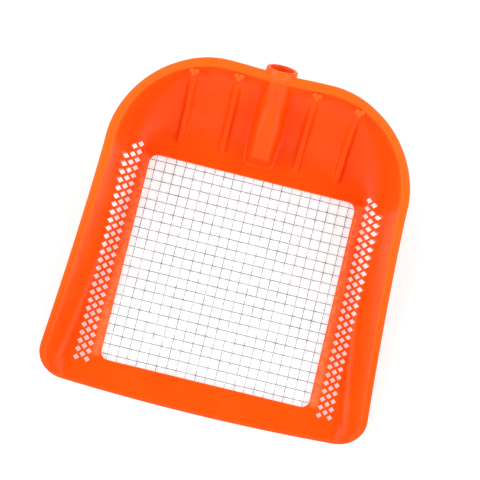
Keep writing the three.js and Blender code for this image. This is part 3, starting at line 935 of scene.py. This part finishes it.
def orange_plastic():
    """Glossy orange polypropylene: painted light on the thin rim and on the bumps, cloudy where
    melted.
    """
    material, nodes, links, shader = new_material("orange_plastic", ORANGE, 0.3, 0.0, 1.49)
    shader.inputs["Specular IOR Level"].default_value = PLASTIC_SPECULAR
    coordinates = nodes.new("ShaderNodeTexCoord")
    mottle = noise_value(nodes, links, coordinates, MOTTLE_SCALE, 4, 0.6)
    mottle = map_range(nodes, links, mottle, 0.35, 0.7, 0, 1)
    body = mix_colour(nodes, links, mottle, ORANGE_DEEP, ORANGE)
    painted_light = nodes.new("ShaderNodeAttribute")
    painted_light.attribute_name = "painted_rim_and_bump_light"
    # Painted light: lighter orange where the thin rim is lit through from below, and on the
    # bumps.
    body = mix_colour(nodes, links, painted_light.outputs["Fac"], body, ORANGE_PAINTED_RIM_LIGHT)
    melted = melted_margin(nodes, links, coordinates)
    body = mix_colour(nodes, links, melted, body, ORANGE_MELTED)
    links.new(body, shader.inputs["Base Color"])
    flow = noise_value(nodes, links, coordinates, FLOW_SCALE, 3)
    gloss = map_range(nodes, links, flow, 0.3, 0.7, *PLASTIC_ROUGHNESS)
    roughness = math_value(nodes, links, "MULTIPLY_ADD", melted, MELTED_EXTRA_ROUGHNESS, gloss)
    links.new(roughness, shader.inputs["Roughness"])
    peel = noise_value(nodes, links, coordinates, PEEL_SCALE, 2)
    ripple = noise_value(nodes, links, coordinates, RIPPLE_SCALE, 2)
    heights = math_value(nodes, links, "MULTIPLY_ADD", ripple, RIPPLE_TO_PEEL, peel)
    add_bump(nodes, links, shader, heights, *PLASTIC_BUMP)
    return material


def galvanised_wire():
    """Zinc-coated wire with darker, rougher patches."""
    material, nodes, links, shader = new_material("galvanised_wire", ZINC, 0.4, 1.0, 1.45)
    coordinates = nodes.new("ShaderNodeTexCoord")
    patches = noise_value(nodes, links, coordinates, ZINC_PATCH_SCALE, 4, 0.65)
    share = map_range(nodes, links, patches, 0.35, 0.65, 0, 1)
    colour = mix_colour(nodes, links, share, ZINC_DARK, ZINC_LIGHT)
    links.new(colour, shader.inputs["Base Color"])
    roughness = map_range(nodes, links, patches, 0.3, 0.7, *ZINC_ROUGHNESS)
    links.new(roughness, shader.inputs["Roughness"])
    grain = noise_value(nodes, links, coordinates, ZINC_GRAIN_SCALE, 2)
    add_bump(nodes, links, shader, grain, *ZINC_BUMP)
    return material


def studio_floor_material():
    material, nodes, links, shader = new_material("studio_floor", STUDIO_GREY, 0.6, 0, 1.45)
    coordinates = nodes.new("ShaderNodeTexCoord")
    cloud = noise_value(nodes, links, coordinates, 3, 2)
    share = map_range(nodes, links, cloud, 0.3, 0.7, 0, 1)
    colour = mix_colour(nodes, links, share, STUDIO_GREY_LOW, STUDIO_GREY_HIGH)
    links.new(colour, shader.inputs["Base Color"])
    shader.inputs["Emission Color"].default_value = (1, 1, 1, 1)
    shader.inputs["Emission Strength"].default_value = STUDIO_GLOW
    return material


# ------------------------------------------------------------------ camera and studio

CAMERA_AT = (-25.7, -43.1, 1005.0)
CAMERA_AIM = (0.9, 41.9, 2.1)
CAMERA_UP = (-0.2395, 0.9679, 0.0756)
CAMERA_LENS = 75.0

# Strength of the surround in front and behind, and at the sides.
SURROUND_STRENGTH = (1.25, 3.1)
SURROUND_TURN = (0.1, 0.75)
# Level of the surround by the height of its direction, as (height, level).
SURROUND_LEVELS = ((0.02, 0.46), (0.32, 0.52), (0.66, 0.95), (0.95, 0.07))
PANEL_AZIMUTH = -80
PANEL_ELEVATION = 50
PANEL_DISTANCE = 1.9
PANEL_SIZE = 0.9
PANEL_POWER = 2.5
STUDIO_HALF = 4


def add_camera():
    camera = bpy.data.objects.new("camera", bpy.data.cameras.new("camera"))
    bpy.context.scene.collection.objects.link(camera)
    at = Vector(to_frame(CAMERA_AT))
    backward = (at - Vector(to_frame(CAMERA_AIM))).normalized()
    right = Vector(CAMERA_UP).cross(backward).normalized()
    up = backward.cross(right)
    turn = Matrix((right, up, backward)).transposed()
    camera.matrix_world = Matrix.Translation(at) @ turn.to_4x4()
    camera.data.lens = CAMERA_LENS
    camera.data.sensor_width = 36.0
    camera.data.dof.use_dof = False
    camera.data.clip_start = 0.01
    camera.data.clip_end = 20.0
    bpy.context.scene.camera = camera


def add_left_panel():
    """A soft square light aimed at the scoop. Azimuth 0 is in front, at -Y."""
    light = bpy.data.lights.new("left_panel", "AREA")
    light.shape = "RECTANGLE"
    light.size, light.size_y = PANEL_SIZE, PANEL_SIZE
    light.energy = PANEL_POWER
    panel = bpy.data.objects.new("left_panel", light)
    bpy.context.scene.collection.objects.link(panel)
    a, e = math.radians(PANEL_AZIMUTH), math.radians(PANEL_ELEVATION)
    direction = Vector((math.sin(a) * math.cos(e), -math.cos(a) * math.cos(e), math.sin(e)))
    panel.location = direction * PANEL_DISTANCE
    panel.rotation_mode = "QUATERNION"
    panel.rotation_quaternion = direction.to_track_quat("Z", "Y")


def add_soft_surround():
    """Soft light from all round: dim overhead, and brighter at the sides than behind."""
    world = bpy.data.worlds.new("studio")
    bpy.context.scene.world = world
    world.use_nodes = True
    nodes, links = world.node_tree.nodes, world.node_tree.links
    background = nodes["Background"]
    direction = nodes.new("ShaderNodeTexCoord")
    split = nodes.new("ShaderNodeSeparateXYZ")
    links.new(direction.outputs["Generated"], split.inputs["Vector"])
    ramp = nodes.new("ShaderNodeValToRGB")
    ramp.color_ramp.interpolation = "EASE"
    stops = ramp.color_ramp.elements
    for place, level in SURROUND_LEVELS:
        stops.new(place).color = (level, level, level, 1)
    stops[0].color = stops[1].color
    stops[-1].color = stops[-2].color
    links.new(split.outputs["Z"], ramp.inputs["Fac"])
    links.new(ramp.outputs["Color"], background.inputs["Color"])
    sideways = math_value(nodes, links, "ABSOLUTE", split.outputs["X"])
    strength = map_range(
        nodes, links, sideways, *SURROUND_TURN, *SURROUND_STRENGTH, interpolation="SMOOTHSTEP")
    links.new(strength, background.inputs["Strength"])


def add_studio():
    scene = bpy.context.scene
    add_soft_surround()
    add_left_panel()
    mesh = bpy.data.meshes.new("studio_floor")
    corners = [(-1, -1), (1, -1), (1, 1), (-1, 1)]
    points = [(STUDIO_HALF * x, STUDIO_HALF * y, CAD_LOW.z) for x, y in corners]
    mesh.from_pydata(points, [], [[0, 1, 2, 3]])
    floor = bpy.data.objects.new("studio_floor", mesh)
    scene.collection.objects.link(floor)
    floor.data.materials.append(studio_floor_material())
    scene.view_settings.view_transform = "Standard"
    scene.view_settings.look = "None"


# ------------------------------------------------------------------ the scoop


# The painted light shining through the thin rim starts where the wall is this high, and
# fades over these distances past the flange's edge and below its top.
RIM_LIGHT_FROM = WALL_FRONT - 8
RIM_LIGHT_EDGE = (-0.6, 1.4)
RIM_LIGHT_BELOW = (-7, -1.5)
# Painted highlight on the bumps under the rim: its strength, and how far it reaches.
BUMP_PAINTED_HIGHLIGHT = 0.85
BUMP_HIGHLIGHT_REACH = (4.6, 6.6)
POINTS_AT_ONCE = 20000


def paint_rim_and_bump_light(piece, cut):
    """Stores painted light as one value per point: light through the thin rim, and a highlight
    on the bumps.
    """
    middle = np.concatenate([
        (cut[:, 2:4] + cut[:, 4:6]) / 2,
        (FLOOR_TOP + cut[:, 6] - 1)[:, None],
    ], 1)
    half = np.hypot(cut[:, 4] - cut[:, 2], cut[:, 5] - cut[:, 3]) / 2
    # The painted rim light is weaker where the wall is low and little light comes through from
    # below.
    strength = smoothstep(RIM_LIGHT_FROM, WALL_SIDE, cut[:, 6])
    count = len(piece.data.vertices)
    flat = np.zeros(count * 3)
    piece.data.vertices.foreach_get("co", flat)
    points = (flat.reshape(-1, 3) - WINDOW_CENTRE) / MM
    painted_light = np.zeros(count)
    for start in range(0, count, POINTS_AT_ONCE):
        block = points[start:start + POINTS_AT_ONCE]
        gap = np.linalg.norm(block[:, None, :2] - middle[None, :, :2], axis=2)
        nearest = gap.argmin(1)
        reach = gap[np.arange(len(block)), nearest]
        edge = half[nearest]
        inside = 1 - smoothstep(edge + RIM_LIGHT_EDGE[0], edge + RIM_LIGHT_EDGE[1], reach)
        high = smoothstep(*RIM_LIGHT_BELOW, block[:, 2] - middle[nearest, 2])
        painted_light[start:start + POINTS_AT_ONCE] = inside * high * strength[nearest]
    # Painted highlight round each bump, where its top faces up to the light.
    for x, y, z in bump_places():
        gap = np.linalg.norm(points - (x, y - BUMP_REACH, z), axis=1)
        painted_light = np.maximum(painted_light, BUMP_PAINTED_HIGHLIGHT * (1 - smoothstep(*BUMP_HIGHLIGHT_REACH, gap)))
    attribute = piece.data.attributes.new("painted_rim_and_bump_light", "FLOAT", "POINT")
    attribute.data.foreach_set("value", painted_light)


def scoop_moulding(material):
    """The whole orange moulding: the pan with its socket and bumps, then its openings."""
    piece = pan_object()
    combine(piece, socket_tube(), "UNION")
    for lobe in bump_lobes():
        combine(piece, lobe, "UNION")
    combine(piece, socket_bore(), "DIFFERENCE")
    combine(piece, window_cutter(), "DIFFERENCE")
    combine(piece, sifting_cutters(), "DIFFERENCE")
    smooth_by_angle(piece, MOULDING_SMOOTH_ANGLE)
    # Painted light on the thin rim and a painted highlight on the bumps.
    paint_rim_and_bump_light(piece, pan_cuts())
    piece.data.materials.clear()
    piece.data.materials.append(material)
    return piece


def build_scoop():
    plastic, wire = orange_plastic(), galvanised_wire()
    shell = scoop_moulding(plastic)
    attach(shell, "root")
    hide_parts("scoop_shell")
    for name, side in (("melt_bead_left", -1), ("melt_bead_right", 1)):
        bead = melt_bead(name, side)
        bead.data.materials.append(plastic)
        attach(bead, "root")
    for kind, lengthwise in (("warp", True), ("weft", False)):
        wires = woven_wires(f"woven_{kind}_wires", lengthwise)
        wires.data.materials.append(wire)
        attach(wires, "root")
        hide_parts(*[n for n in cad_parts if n.startswith(f"{kind}_wire")])


add_camera()
add_studio()
build_scoop()
